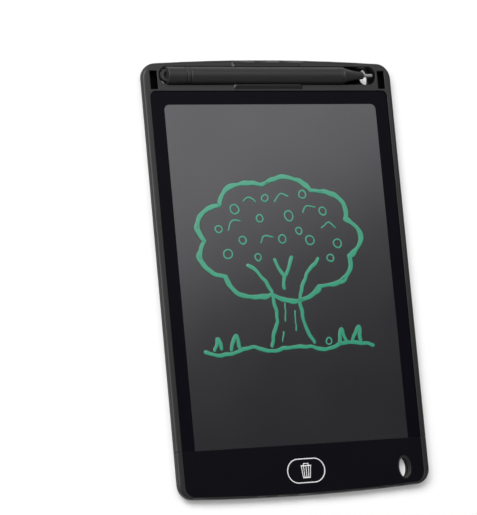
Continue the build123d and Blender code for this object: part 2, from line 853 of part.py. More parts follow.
# Flexible tail from the rear film to its connector
tail_seat_z = board_top_z + connector_height / 2
tail_start_z = rear_film_z - tail_thickness / 2
tail_pass_z = shelf_bottom_z - tail_clearance - tail_thickness / 2
tail_drop = (tail_start_z - tail_pass_z) * tail_run_share
tail_path = [
    (film_bottom_y + tail_lap, tail_start_z),
    (film_bottom_y + tail_drop, tail_start_z),
    (film_bottom_y, tail_pass_z),
    (lower_pad_top_y, tail_pass_z),
    (connector_y + connector_width / 2 + tail_drop / 2, tail_seat_z),
    (connector_y + connector_width / 2 - tail_seat, tail_seat_z),
]
with BuildPart() as flex_connector:
    with BuildSketch(Plane.XY.offset(board_top_z)):
        with Locations((connector_x, connector_y)):
            Rectangle(connector_length, connector_width)
    extrude(amount=connector_height)
    with BuildSketch(Plane.XY.offset(tail_seat_z - tail_thickness / 2)):
        with Locations((connector_x, connector_y + connector_width / 2)):
            Rectangle(tail_width, 2 * tail_seat)
    extrude(amount=tail_thickness, mode=Mode.SUBTRACT)

flex_connector.part.label = "flex_connector"
export_step(flex_connector.part, "parts/flex_connector.step")

with BuildPart() as flex_tail:
    with BuildSketch(Plane.YZ.offset(connector_x)):
        with BuildLine():
            Polyline(*ribbon(tail_path, tail_thickness))
        make_face()
    extrude(amount=tail_width / 2, both=True)

flex_tail.part.label = "flex_tail"
export_step(flex_tail.part, "parts/flex_tail.step")

# Coin cell and its two contacts
cell_z = door_thickness + door_rib_height + contact_lift
cell_top_z = cell_z + cell_thickness
with BuildPart() as battery_cell:
    with BuildSketch(Plane.XY.offset(cell_z)):
        with Locations((cell_x, cell_y)):
            Circle(cell_radius)
    extrude(amount=cell_thickness - cell_cap_height)
    fillet(battery_cell.edges().group_by(Axis.Z)[0], cell_edge_round)
    with BuildSketch(Plane.XY.offset(cell_top_z - cell_cap_height)):
        with Locations((cell_x, cell_y)):
            Circle(cell_cap_radius)
    extrude(amount=cell_cap_height)

battery_cell.part.label = "battery_cell"
export_step(battery_cell.part, "parts/battery_cell.step")

foot_end_x = board_left + contact_foot
foot_z = board_top_z + contact_thickness / 2
foot_bend_x = board_left + contact_thickness
with BuildPart() as contact_negative:
    strip_z = cell_top_z + contact_lift + contact_thickness / 2
    strip_y = cell_y + contact_offset
    strip_path = [
        (cell_x - contact_reach, strip_z),
        (board_left - contact_foot / 2, strip_z),
        (foot_bend_x, foot_z),
        (foot_end_x, foot_z),
    ]
    with BuildSketch(Plane.XZ.offset(-strip_y)):
        with BuildLine():
            Polyline(*ribbon(strip_path, contact_thickness))
        make_face()
    extrude(amount=contact_width / 2, both=True)
    with BuildSketch(Plane.XY.offset(cell_top_z)):
        with Locations((cell_x, strip_y)):
            Circle(dimple_radius)
    extrude(amount=contact_lift + contact_thickness / 2)

contact_negative.part.label = "contact_negative"
export_step(contact_negative.part, "parts/contact_negative.step")

with BuildPart() as contact_positive:
    blade_y = cell_y - blade_offset - blade_width / 2
    blade_x = cell_x + (cell_radius**2 - blade_offset**2) ** 0.5 + contact_lift
    blade_top_z = cell_top_z - contact_lift
    bridge_z = blade_top_z - contact_thickness / 2
    bridge_path = [
        (blade_x, bridge_z),
        (board_left - contact_foot / 2, bridge_z),
        (foot_bend_x, foot_z),
        (foot_end_x, foot_z),
    ]
    with BuildSketch(Plane.XZ.offset(-blade_y)):
        with BuildLine():
            Polyline(*ribbon(bridge_path, contact_thickness))
        make_face()
        with Locations((blade_x + contact_thickness / 2, blade_top_z - blade_height / 2)):
            Rectangle(contact_thickness, blade_height)
    extrude(amount=blade_width / 2, both=True)

contact_positive.part.label = "contact_positive"
export_step(contact_positive.part, "parts/contact_positive.step")

# Battery door: plate, ribs under the cell, a tab at one end and a screw at the other
with BuildPart() as battery_door:
    with BuildSketch():
        with Locations((door_x, cell_y)):
            RectangleRounded(door_length, door_width, door_corner_radius)
    extrude(amount=door_thickness)
    with BuildSketch(Plane.XY.offset(door_thickness)):
        with Locations((cell_x, cell_y)):
            with GridLocations(0, door_rib_spacing, 1, 2):
                Rectangle(door_rib_length, door_rib_width)
    extrude(amount=door_rib_height)
    door_left_x = door_x - door_length / 2
    tab_z = pad_wall + fit_gap / 2
    tab_top_z = tab_z + door_tab_thickness
    with BuildSketch(Plane.XY.offset(door_thickness)):
        with Locations((door_left_x + door_tab_root / 2, cell_y)):
            Rectangle(door_tab_root, door_tab_width)
    extrude(amount=tab_top_z - door_thickness)
    with BuildSketch(Plane.XY.offset(tab_z)):
        with Locations((door_left_x - door_tab_reach / 2, cell_y)):
            Rectangle(door_tab_reach, door_tab_width)
    extrude(amount=door_tab_thickness)
    with BuildSketch(Plane.XY.offset(door_thickness)):
        with Locations((door_screw_x, cell_y)):
            Circle(door_screw_boss_radius)
    extrude(amount=door_screw_boss_height)
    with BuildSketch():
        with Locations((door_screw_x, cell_y)):
            Circle(door_screw_pocket_radius)
    extrude(amount=door_screw_pocket_depth, mode=Mode.SUBTRACT)
    with BuildSketch():
        with Locations((door_screw_x, cell_y)):
            Circle(door_screw_radius + screw_gap)
    extrude(amount=door_boss_z, mode=Mode.SUBTRACT)

battery_door.part.label = "battery_door"
export_step(battery_door.part, "parts/battery_door.step")


# Screws, each with a cross recess in the face of its head
def screw_body(places, seat_z, head_radius, head_height, shank_radius, shank_length, towards):
    # The head lies on the seat, away from the shank; towards is 1 for a shank that points up
    recess_reach = 2 * head_radius * (1 - screw_slot_share)
    with BuildPart() as screw:
        with BuildSketch(Plane.XY.offset(seat_z)):
            with Locations(*places):
                Circle(head_radius)
        extrude(amount=-towards * head_height)
        with BuildSketch(Plane.XY.offset(seat_z)):
            with Locations(*places):
                Circle(shank_radius)
        extrude(amount=towards * shank_length)
        with BuildSketch(Plane.XY.offset(seat_z - towards * head_height)):
            with Locations(*places):
                Rectangle(recess_reach, head_radius * screw_slot_share)
                Rectangle(head_radius * screw_slot_share, recess_reach)
        extrude(amount=towards * head_height / 2, mode=Mode.SUBTRACT)
    return screw.part


housing_screws = screw_body(
    housing_screws_at,
    pocket_top_z,
    housing_screw_head_radius,
    housing_screw_head_height,
    housing_screw_radius,
    housing_screw_length,
    1,
)
housing_screws.label = "housing_screws"
export_step(housing_screws, "parts/housing_screws.step")

board_screws = screw_body(
    board_screws_at,
    board_top_z,
    board_screw_head_radius,
    board_screw_head_height,
    board_screw_radius,
    board_screw_length,
    -1,
)
board_screws.label = "board_screws"
export_step(board_screws, "parts/board_screws.step")

battery_door_screw = screw_body(
    [(door_screw_x, cell_y)],
    door_screw_pocket_depth,
    door_screw_head_radius,
    door_screw_head_height,
    door_screw_radius,
    door_screw_length,
    1,
)
battery_door_screw.label = "battery_door_screw"
export_step(battery_door_screw, "parts/battery_door_screw.step")

# Pen, along the axis of its slot: the loop at the left end, the nib at the right
pen_tail_x = -slot_half + loop_gap
cap_face_x = pen_tail_x + loop_reach
cap_end_x = cap_face_x + cap_length
nib_end_x = slot_half - nib_gap
nose_tip_x = nib_end_x - nib_length
cone_start_x = nose_tip_x - nose_length
nose_start_x = cone_start_x - collar_length
spigot_radius = pen_radius - barrel_wall - spigot_gap

with BuildPart() as pen_barrel:
    barrel_groove_x = cap_end_x + groove_offset
    with BuildSketch(pen_plane):
        with BuildLine():
            Polyline(
                (cap_end_x, pen_radius - barrel_wall),
                (cap_end_x, pen_radius),
                (barrel_groove_x - groove_width / 2, pen_radius),
                (barrel_groove_x, pen_radius - groove_depth),
                (barrel_groove_x + groove_width / 2, pen_radius),
                (nose_start_x, pen_radius),
                (nose_start_x, pen_radius - barrel_wall),
                close=True,
            )
        make_face()
    revolve(axis=pen_axis)

pen_barrel.part.label = "pen_barrel"
export_step(pen_barrel.part, "parts/pen_barrel.step")

with BuildPart() as pen_cap:
    with BuildSketch(Plane.XY.offset(pen_z)):
        with Locations((pen_tail_x + loop_radius, pen_y)):
            Circle(loop_radius)
        with Locations((cap_face_x + loop_hole_sink, pen_y)):
            Circle(loop_hole_radius, mode=Mode.SUBTRACT)
    extrude(amount=loop_thickness / 2, both=True)
    cap_groove_x = cap_end_x - groove_offset
    with BuildSketch(pen_plane):
        with BuildLine():
            Polyline(
                (cap_face_x + cap_edge_round, pen_radius),
                (cap_groove_x - groove_width / 2, pen_radius),
                (cap_groove_x, pen_radius - groove_depth),
                (cap_groove_x + groove_width / 2, pen_radius),
                (cap_end_x, pen_radius),
                (cap_end_x, spigot_radius),
                (cap_end_x + spigot_length, spigot_radius),
                (cap_end_x + spigot_length, 0),
                (cap_face_x, 0),
                (cap_face_x, pen_radius - cap_edge_round),
            )
            TangentArc(
                (cap_face_x, pen_radius - cap_edge_round),
                (cap_face_x + cap_edge_round, pen_radius),
                tangent=(0, 1),
            )
        make_face()
    revolve(axis=pen_axis)

pen_cap.part.label = "pen_cap"
export_step(pen_cap.part, "parts/pen_cap.step")

with BuildPart() as pen_nose:
    nib_hole_radius = nib_radius + spigot_gap
    groove_half = collar_groove_width / 2
    collar_middle_x = nose_start_x + collar_length / 2
    with BuildSketch(pen_plane) as nose_profile:
        with BuildLine():
            Polyline(
                (nose_start_x - spigot_length, 0),
                (nose_start_x - spigot_length, spigot_radius),
                (nose_start_x, spigot_radius),
                (nose_start_x, pen_radius - collar_groove_depth),
                (nose_start_x + groove_half, pen_radius),
                (collar_middle_x - groove_half, pen_radius),
                (collar_middle_x, pen_radius - collar_groove_depth),
                (collar_middle_x + groove_half, pen_radius),
                (cone_start_x - groove_half, pen_radius),
                (cone_start_x, pen_radius - collar_groove_depth),
            )
            ThreePointArc(
                (cone_start_x, pen_radius - collar_groove_depth),
                (cone_start_x + nose_length * nose_waist_share, nose_waist_radius),
                (nose_tip_x, nose_tip_radius),
            )
            Polyline(
                (nose_tip_x, nose_tip_radius),
                (nose_tip_x, nib_hole_radius),
                (nose_tip_x - nib_seat, nib_hole_radius),
                (nose_tip_x - nib_seat, 0),
                (nose_start_x - spigot_length, 0),
            )
        make_face()
        fillet(nose_profile.vertices().group_by(Axis.X)[-1].sort_by(Axis.Y)[-1], nose_tip_round)
    revolve(axis=pen_axis)

pen_nose.part.label = "pen_nose"
export_step(pen_nose.part, "parts/pen_nose.step")

with BuildPart() as pen_nib:
    with BuildSketch(pen_plane):
        with BuildLine():
            Polyline(
                (nib_end_x - nib_tip_round, nib_radius),
                (nose_tip_x - nib_seat, nib_radius),
                (nose_tip_x - nib_seat, 0),
                (nib_end_x, 0),
                (nib_end_x, nib_radius - nib_tip_round),
            )
            TangentArc(
                (nib_end_x - nib_tip_round, nib_radius),
                (nib_end_x, nib_radius - nib_tip_round),
                tangent=(1, 0),
            )
        make_face()
    revolve(axis=pen_axis)

pen_nib.part.label = "pen_nib"
export_step(pen_nib.part, "parts/pen_nib.step")
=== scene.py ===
import math

import bpy
import numpy as np
from mathutils import Matrix, Quaternion, Vector


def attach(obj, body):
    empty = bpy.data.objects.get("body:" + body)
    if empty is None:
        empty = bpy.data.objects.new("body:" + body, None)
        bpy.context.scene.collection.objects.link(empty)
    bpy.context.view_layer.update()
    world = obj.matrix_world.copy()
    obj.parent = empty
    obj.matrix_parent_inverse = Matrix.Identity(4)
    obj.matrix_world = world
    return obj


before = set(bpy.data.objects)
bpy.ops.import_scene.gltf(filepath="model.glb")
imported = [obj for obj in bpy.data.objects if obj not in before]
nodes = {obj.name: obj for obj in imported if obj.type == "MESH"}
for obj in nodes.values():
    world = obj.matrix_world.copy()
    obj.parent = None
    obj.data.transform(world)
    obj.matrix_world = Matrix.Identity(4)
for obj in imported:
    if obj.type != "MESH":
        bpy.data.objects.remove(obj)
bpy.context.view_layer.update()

print("frame loaded:", len(nodes), "pieces")

# Camera, where the photograph was taken from. Places are in metres
cameraPlace = {
    "position": (-0.69967, -0.16486, 1.30593),
    "target": (-0.02728, 0.01016, 0.00486),
    "upwards": (0.02752, 0.98872, 0.14723),
    "focalPixels": 2900.0,
    "imageWidth": 477,
    "imageHeight": 515,
    "sensorWidth": 36.0,  # millimetres, as the lens is
    "farthest": 20.0,
}


def addCamera(place):
    # The focal length in pixels, times the sensor's width, over the longer side of the picture
    data = bpy.data.cameras.new("photoCamera")
    data.sensor_width = place["sensorWidth"]
    longerSide = max(place["imageWidth"], place["imageHeight"])
    data.lens = place["focalPixels"] * place["sensorWidth"] / longerSide
    data.clip_end = place["farthest"]
    camera = bpy.data.objects.new("photoCamera", data)
    bpy.context.scene.collection.objects.link(camera)
    back = (Vector(place["position"]) - Vector(place["target"])).normalized()
    right = Vector(place["upwards"]).cross(back).normalized()
    turn = Matrix((right, back.cross(right), back)).transposed().to_4x4()
    camera.matrix_world = Matrix.Translation(place["position"]) @ turn
    bpy.context.scene.camera = camera


addCamera(cameraPlace)
bpy.context.scene.view_settings.view_transform = "Standard"
print("camera: in place")

# Lamps: three softboxes. Level is how bright a lamp's own face is, and turn is about its own
# axis, in degrees
lampLooks = {
    "topSoftbox": {
        "place": (0.43, 0.84, 1.5), "aim": (0.43, 0.84, 0), "turn": 22, "size": (1.4, 1.4),
        "level": 1.25,
    },
    "leftSoftbox": {
        "place": (-1.25, 0.4, 1.05), "aim": (0, 0, 0), "turn": 0, "size": (1.1, 0.7),
        "level": 4.6,
    },
    "frontFill": {
        "place": (0.3, -1.6, 1.2), "aim": (0, 0, 0), "turn": 0, "size": (1.4, 0.9),
        "level": 0.5,
    },
}
energyPerLevel = 4  # watts from each square metre of a lamp's face, at a level of 1


def addLamp(name, look):
    # Stands at its place and faces its aim
    data = bpy.data.lights.new(name, "AREA")
    data.shape = "RECTANGLE"
    data.size, data.size_y = look["size"]
    data.energy = look["level"] * energyPerLevel * look["size"][0] * look["size"][1]
    made = bpy.data.objects.new(name, data)
    made.location = look["place"]
    towards = Vector(look["aim"]) - Vector(look["place"])
    turn = Quaternion((0, 0, 1), math.radians(look["turn"]))
    made.rotation_euler = (towards.to_track_quat("-Z", "Y") @ turn).to_euler()
    bpy.context.scene.collection.objects.link(made)


for lampName, lampLook in lampLooks.items():
    addLamp(lampName, lampLook)

# Sun: a wide soft one from the upper left, with its spread in degrees
sunLook = {"from": (-0.46, 0.53, 0.72), "level": 2.35, "spread": 34}


def addSun(look):
    # Shines from its direction, wherever it stands
    data = bpy.data.lights.new("upperLeftKey", "SUN")
    data.energy = look["level"]
    data.angle = math.radians(look["spread"])
    made = bpy.data.objects.new("upperLeftKey", data)
    made.rotation_euler = Vector(look["from"]).to_track_quat("Z", "Y").to_euler()
    bpy.context.scene.collection.objects.link(made)


addSun(sunLook)
print("lamps:", len(lampLooks), "softboxes and a sun")


# Short ways to write nodes, for the room and for the materials
def plug(tree, socket, value):
    # A socket takes another node's output, or else a plain number, colour or vector
    if isinstance(value, bpy.types.NodeSocket):
        tree.links.new(value, socket)
    else:
        socket.default_value = value


def addNode(tree, kind, **sockets):
    # Sockets are given by name, with an underscore for each space
    node = tree.nodes.new(kind)
    for name, value in sockets.items():
        plug(tree, node.inputs[name.replace("_", " ")], value)
    return node


def combine(tree, operation, first, second):
    # One sum on two numbers, such as their product or the larger of them
    node = tree.nodes.new("ShaderNodeMath")
    node.operation = operation
    plug(tree, node.inputs[0], first)
    plug(tree, node.inputs[1], second)
    return node.outputs[0]


def mapRange(tree, value, start, end, low=0.0, high=1.0, kind="LINEAR"):
    # Low up to the start, high from the end on, and a slope between them
    node = addNode(tree, "ShaderNodeMapRange", Value=value, From_Min=start, From_Max=end,
                   To_Min=low, To_Max=high)
    node.interpolation_type = kind
    return node.outputs["Result"]


def mixShaders(tree, share, first, second):
    # All of the first at a share of 0, all of the second at 1
    mix = tree.nodes.new("ShaderNodeMixShader")
    for socket, value in zip(mix.inputs, (share, first, second)):
        plug(tree, socket, value)
    return mix.outputs[0]


def plainlySeen(tree):
    # 1 for what the camera sees, directly, in gloss or through clear pieces, and 0 for all
    # light that is on its way to a surface
    rays = tree.nodes.new("ShaderNodeLightPath").outputs
    seen = combine(tree, "MAXIMUM", rays["Is Camera Ray"], rays["Is Glossy Ray"])
    return combine(tree, "MAXIMUM", seen, rays["Is Transmission Ray"])


# Room: dim overhead, brighter low down, and plain white where its horizon is seen, up to
# whiteTop and gone at whiteFade. Heights go from 0 at the horizon to 1 overhead
roomLook = {
    "colour": (0.05, 0.05, 0.05),
    "low": 0.95,
    "high": 0.1,
    "fadeStart": 0.05,
    "fadeEnd": 0.62,
    "white": (1.0, 1.0, 1.0),
    "whiteTop": 0.1,
    "whiteFade": 0.16,
}


def addRoom(look):
    room = bpy.data.worlds.new("paleRoom")
    bpy.context.scene.world = room
    room.use_nodes = True
    tree = room.node_tree
    place = tree.nodes.new("ShaderNodeTexCoord").outputs["Generated"]
    height = addNode(tree, "ShaderNodeSeparateXYZ", Vector=place).outputs["Z"]
    light = tree.nodes["Background"]
    plug(tree, light.inputs["Color"], (*look["colour"], 1))
    plug(tree, light.inputs["Strength"],
         mapRange(tree, height, look["fadeStart"], look["fadeEnd"], look["low"], look["high"],
                  "SMOOTHSTEP"))
    white = addNode(tree, "ShaderNodeBackground", Color=(*look["white"], 1), Strength=1.0)
    horizon = mapRange(tree, height, look["whiteTop"], look["whiteFade"], 1.0, 0.0)
    share = combine(tree, "MULTIPLY", plainlySeen(tree), horizon)
    seen = mixShaders(tree, share, light.outputs[0], white.outputs[0])
    plug(tree, tree.nodes["World Output"].inputs["Surface"], seen)


addRoom(roomLook)
print("room: in place")

# Materials: each is a small recipe of nodes on Object coordinates, with its numbers in one
# dictionary. Sizes, depths and reaches are in metres
shaderSockets = {
    "roughness": "Roughness",
    "metallic": "Metallic",
    "specular": "Specular IOR Level",
    "ior": "IOR",
}
mixSockets = {"share": 0, "first": 6, "second": 7, "result": 2}  # a Mix node's, for colours
fineSurface = {"noiseLow": 0.25, "noiseHigh": 0.75, "bevelSamples": 6}


def startMaterial(name, look):
    # Plain colour and plain numbers, each on the shader's own socket
    made = bpy.data.materials.new(name)
    made.use_nodes = True
    shader = made.node_tree.nodes["Principled BSDF"]
    shader.inputs["Base Color"].default_value = (*look["colour"], 1)
    for key, socket in shaderSockets.items():
        if key in look:
            shader.inputs[socket].default_value = look[key]
    return made, made.node_tree, shader


def objectPlace(tree, stretch=(1, 1, 1)):
    # Object coordinates, each axis times its stretch
    place = tree.nodes.new("ShaderNodeTexCoord").outputs["Object"]
    return addNode(tree, "ShaderNodeMapping", Vector=place, Scale=stretch).outputs["Vector"]


def addNoise(tree, place, size, detail):
    # Soft blotches of the size, with detail more layers of finer ones on them
    noise = addNode(tree, "ShaderNodeTexNoise", Vector=place, Scale=1 / size, Detail=detail)
    return noise.outputs["Fac"]


def drawnNoise(tree, lengths, detail):
    # Noise drawn out into streaks, whose lengths are given along X, Y and Z
    stretch = tuple(1 / length for length in lengths)
    return addNoise(tree, objectPlace(tree, stretch), 1.0, detail)


def tint(tree, value, first, second):
    # The first colour where the value is 0, the second where it is 1
    ramp = addNode(tree, "ShaderNodeValToRGB", Fac=value)
    ramp.color_ramp.elements[0].color = (*first, 1)
    ramp.color_ramp.elements[1].color = (*second, 1)
    return ramp.outputs["Color"]


def mixColours(tree, blend, share, first, second):
    # The second colour blended over the first by the share
    mix = tree.nodes.new("ShaderNodeMix")
    mix.data_type = "RGBA"
    mix.blend_type = blend
    plug(tree, mix.inputs[mixSockets["share"]], share)
    plug(tree, mix.inputs[mixSockets["first"]], first)
    plug(tree, mix.inputs[mixSockets["second"]], second)
    return mix.outputs[mixSockets["result"]]


def unevenGloss(tree, shader, noise, look):
    # Roughness that drifts by uneven to both sides, over the range that noise usually keeps to
    low, high = look["roughness"] - look["uneven"], look["roughness"] + look["uneven"]
    plug(tree, shader.inputs["Roughness"],
         mapRange(tree, noise, fineSurface["noiseLow"], fineSurface["noiseHigh"], low, high))


def addBump(tree, shader, height, depth, rounding=0.0):
    # A relief of the depth, over edges that shine as if they were rounded
    bump = addNode(tree, "ShaderNodeBump", Height=height, Strength=1.0, Distance=depth)
    if rounding > 0:
        edge = addNode(tree, "ShaderNodeBevel", Radius=rounding)
        edge.samples = fineSurface["bevelSamples"]
        plug(tree, bump.inputs["Normal"], edge.outputs["Normal"])
    plug(tree, shader.inputs["Normal"], bump.outputs["Normal"])


# Painted shade deep in gaps and pockets: colour and shine made darker where other surfaces shut
# out the sky. Deep and open are shares of free sky, between which the painted shade goes from
# darkest to none, and blend is the height over which it ends at its top
paintedHollowShade = {"samples": 8, "deep": 0.58, "open": 0.92, "darkest": 0.06, "blend": 0.0003}


def paintHollowShade(tree, reach, top):
    # Painted shade: less than 1 where other surfaces within the reach shut out the sky, and 1
    # above the top
    sky = addNode(tree, "ShaderNodeAmbientOcclusion", Distance=reach)
    sky.samples = paintedHollowShade["samples"]
    shade = mapRange(tree, sky.outputs["AO"], paintedHollowShade["deep"], paintedHollowShade["open"],
                     paintedHollowShade["darkest"], 1.0)
    height = addNode(tree, "ShaderNodeSeparateXYZ", Vector=objectPlace(tree)).outputs["Z"]
    above = mapRange(tree, height, top - paintedHollowShade["blend"], top)
    return combine(tree, "MAXIMUM", shade, above)


# Plastics and sheets: a fine grain, and a cloud that shifts colour and gloss a little
moulding = {"grainDetail": 3.0, "cloudDetail": 4.0, "fullTint": (1.0, 1.0, 1.0, 1.0)}
plastics = {
    "sparkMattBack": {
        "colour": (0.030, 0.030, 0.031), "paler": (0.036, 0.036, 0.037), "roughness": 0.58,
        "uneven": 0.05, "specular": 0.3, "grainSize": 0.00035, "grainDepth": 0.00004,
        "cloudSize": 0.03, "rounding": 0.0003, "paintedShadeReach": 0.01, "paintedShadeTop": 0.01,
    },
    "satinFront": {
        "colour": (0.0172, 0.0172, 0.0177), "paler": (0.020, 0.020, 0.0205), "roughness": 0.36,
        "uneven": 0.03, "specular": 0.36, "grainSize": 0.0003, "grainDepth": 0.00001,
        "cloudSize": 0.02, "rounding": 0.0006, "paintedShadeReach": 0.008, "paintedShadeTop": 0.0054,
    },
    "pianoPanel": {
        "colour": (0.0055, 0.005, 0.0075), "paler": (0.006, 0.0055, 0.008), "roughness": 0.1,
        "uneven": 0.03, "specular": 0.4, "grainSize": 0.0012, "grainDepth": 0.000001,
        "cloudSize": 0.015, "rounding": 0.0001,
    },
    "borderPrint": {
        "colour": (0.0035, 0.003, 0.0055), "paler": (0.0042, 0.0037, 0.0063), "roughness": 0.3,
        "uneven": 0.03, "specular": 0.04, "grainSize": 0.0005, "grainDepth": 0.000002,
        "cloudSize": 0.02, "rounding": 0.00005,
    },
    "whitePrint": {
        "colour": (0.74, 0.74, 0.75), "paler": (0.8, 0.8, 0.8), "roughness": 0.35,
        "uneven": 0.05, "specular": 0.4, "grainSize": 0.0002, "grainDepth": 0.000004,
        "cloudSize": 0.003, "rounding": 0.00005,
    },
    "penPlastic": {
        "colour": (0.0205, 0.0205, 0.021), "paler": (0.0235, 0.0235, 0.024), "roughness": 0.48,
        "uneven": 0.04, "specular": 0.36, "grainSize": 0.0004, "grainDepth": 0.000006,
        "cloudSize": 0.01, "rounding": 0.0002,
    },
    # White nib given a grey colour: painted shade for the pen slot it lies in
    "nibPaintedShadeGrey": {
        "colour": (0.20, 0.20, 0.197), "paler": (0.25, 0.25, 0.246), "roughness": 0.4,
        "uneven": 0.05, "specular": 0.4, "grainSize": 0.0002, "grainDepth": 0.000005,
        "cloudSize": 0.002, "rounding": 0.00005,
    },
    "blackBacking": {
        "colour": (0.008, 0.008, 0.008), "paler": (0.011, 0.011, 0.011), "roughness": 0.6,
        "uneven": 0.05, "specular": 0.3, "grainSize": 0.0004, "grainDepth": 0.00001,
        "cloudSize": 0.02, "rounding": 0.00005,
    },
    "foamTape": {
        "colour": (0.016, 0.016, 0.016), "paler": (0.03, 0.03, 0.03), "roughness": 0.85,
        "uneven": 0.05, "specular": 0.2, "grainSize": 0.0005, "grainDepth": 0.00006,
        "cloudSize": 0.002, "rounding": 0.00005,
    },
    "greyBoard": {
        "colour": (0.22, 0.22, 0.21), "paler": (0.27, 0.27, 0.26), "roughness": 0.7,
        "uneven": 0.05, "specular": 0.3, "grainSize": 0.0008, "grainDepth": 0.00003,
        "cloudSize": 0.01, "rounding": 0.0001,
    },
    "switchBlack": {
        "colour": (0.016, 0.016, 0.017), "paler": (0.024, 0.024, 0.025), "roughness": 0.5,
        "uneven": 0.06, "specular": 0.4, "grainSize": 0.0002, "grainDepth": 0.00001,
        "cloudSize": 0.003, "rounding": 0.0001,
    },
    "plungerWhite": {
        "colour": (0.48, 0.48, 0.46), "paler": (0.55, 0.55, 0.53), "roughness": 0.45,
        "uneven": 0.05, "specular": 0.4, "grainSize": 0.0002, "grainDepth": 0.000006,
        "cloudSize": 0.002, "rounding": 0.0001,
    },
    "amberTail": {
        "colour": (0.30, 0.13, 0.035), "paler": (0.38, 0.18, 0.055), "roughness": 0.3,
        "uneven": 0.05, "specular": 0.5, "grainSize": 0.0003, "grainDepth": 0.000004,
        "cloudSize": 0.004, "rounding": 0.00005, "paintedShadeReach": 0.006, "paintedShadeTop": 0.01,
    },
    "darkCrystal": {
        "colour": (0.018, 0.026, 0.026), "paler": (0.022, 0.032, 0.031), "roughness": 0.3,
        "uneven": 0.03, "specular": 0.5, "grainSize": 0.0006, "grainDepth": 0.000002,
        "cloudSize": 0.02, "rounding": 0.00005,
    },
}


def mouldedPlastic(name, look):
    made, tree, shader = startMaterial(name, look)
    place = objectPlace(tree)
    grain = addNoise(tree, place, look["grainSize"], moulding["grainDetail"])
    cloud = addNoise(tree, place, look["cloudSize"], moulding["cloudDetail"])
    colour = tint(tree, cloud, look["colour"], look["paler"])
    # Painted shade in gaps and pockets: base colour and shine darkened where other surfaces shut
    # out the sky
    if "paintedShadeReach" in look:
        shade = paintHollowShade(tree, look["paintedShadeReach"], look["paintedShadeTop"])
        colour = mixColours(tree, "MULTIPLY", 1.0, colour, shade)
        shine = mixColours(tree, "MULTIPLY", 1.0, moulding["fullTint"], shade)
        plug(tree, shader.inputs["Specular Tint"], shine)
    plug(tree, shader.inputs["Base Color"], colour)
    unevenGloss(tree, shader, cloud, look)
    addBump(tree, shader, grain, look["grainDepth"], look["rounding"])
    return made


finishes = {name: mouldedPlastic(name, look) for name, look in plastics.items()}
print("plastics:", len(finishes))

# Writing film: a dark film whose soft sheen comes from the liquid crystal under it
filmLook = {
    "colour": (0.0190, 0.0190, 0.0206),
    "roughness": 0.19,
    "uneven": 0.02,
    "specular": 0.66,
    "specularTint": (0.95, 0.95, 1.0),
    "ior": 1.65,
    "cloudSize": 0.035,
    "cloudDetail": 3.0,
    "streaks": (0.002, 0.09, 1.0),  # along X, Y and Z
    "streakDetail": 2.0,
    "streakDepth": 0.0000004,
}


def writingFilm(look):
    made, tree, shader = startMaterial("writingFilm", look)
    plug(tree, shader.inputs["Specular Tint"], (*look["specularTint"], 1))
    cloud = addNoise(tree, objectPlace(tree), look["cloudSize"], look["cloudDetail"])
    unevenGloss(tree, shader, cloud, look)
    streaks = drawnNoise(tree, look["streaks"], look["streakDetail"])
    addBump(tree, shader, streaks, look["streakDepth"])
    return made


finishes["writingFilm"] = writingFilm(filmLook)
print("writing film: done")

# Metals: rolled steel, blackened screws and plated spring strip, each with fine lines along X
metals = {
    "cellSteel": {
        "colour": (0.58, 0.58, 0.58), "roughness": 0.28, "uneven": 0.08, "metallic": 1.0,
        "lines": (0.006, 0.00012, 0.00012), "lineDetail": 2.0, "lineDepth": 0.000004,
        "rounding": 0.0001,
    },
    "blackenedSteel": {
        "colour": (0.10, 0.10, 0.105), "roughness": 0.36, "uneven": 0.08, "metallic": 1.0,
        "lines": (0.0006, 0.00015, 0.00015), "lineDetail": 2.0, "lineDepth": 0.000008,
        "rounding": 0.0001,
    },
    "platedStrip": {
        "colour": (0.66, 0.55, 0.34), "roughness": 0.3, "uneven": 0.06, "metallic": 1.0,
        "lines": (0.005, 0.0001, 0.0001), "lineDetail": 2.0, "lineDepth": 0.000004,
        "rounding": 0.0001,
    },
}


def drawnMetal(name, look):
    made, tree, shader = startMaterial(name, look)
    lines = drawnNoise(tree, look["lines"], look["lineDetail"])
    unevenGloss(tree, shader, lines, look)
    addBump(tree, shader, lines, look["lineDepth"], look["rounding"])
    return made


for metalName, metalLook in metals.items():
    finishes[metalName] = drawnMetal(metalName, metalLook)
print("metals:", len(metals))

# Circuit board: green lacquer with copper tracks showing through it as paler lines.
# Their length, spacing and width are shares of the pitch, and their blur one of the width
boardLook = {
    "colour": (0.010, 0.085, 0.030),
    "track": (0.022, 0.150, 0.055),
    "roughness": 0.3,
    "pitch": 0.0021,
    "trackLength": 2.7,
    "trackSpacing": 0.5,
    "trackWidth": 0.06,
    "trackBlur": 0.2,
    "trackHeight": 0.00003,
}


def lacqueredBoard(look):
    # The tracks are the joints of a pattern of bricks
    made, tree, shader = startMaterial("lacqueredBoard", look)
    bricks = addNode(tree, "ShaderNodeTexBrick", Scale=1.0, Bias=0.0,
                     Vector=objectPlace(tree, (1 / look["pitch"],) * 3),
                     Mortar_Size=look["trackWidth"], Mortar_Smooth=look["trackBlur"],
                     Brick_Width=look["trackLength"], Row_Height=look["trackSpacing"])
    tracks = bricks.outputs["Fac"]
    plug(tree, shader.inputs["Base Color"], tint(tree, tracks, look["colour"], look["track"]))
    addBump(tree, shader, tracks, look["trackHeight"])
    return made


finishes["lacqueredBoard"] = lacqueredBoard(boardLook)
print("finishes:", len(finishes))

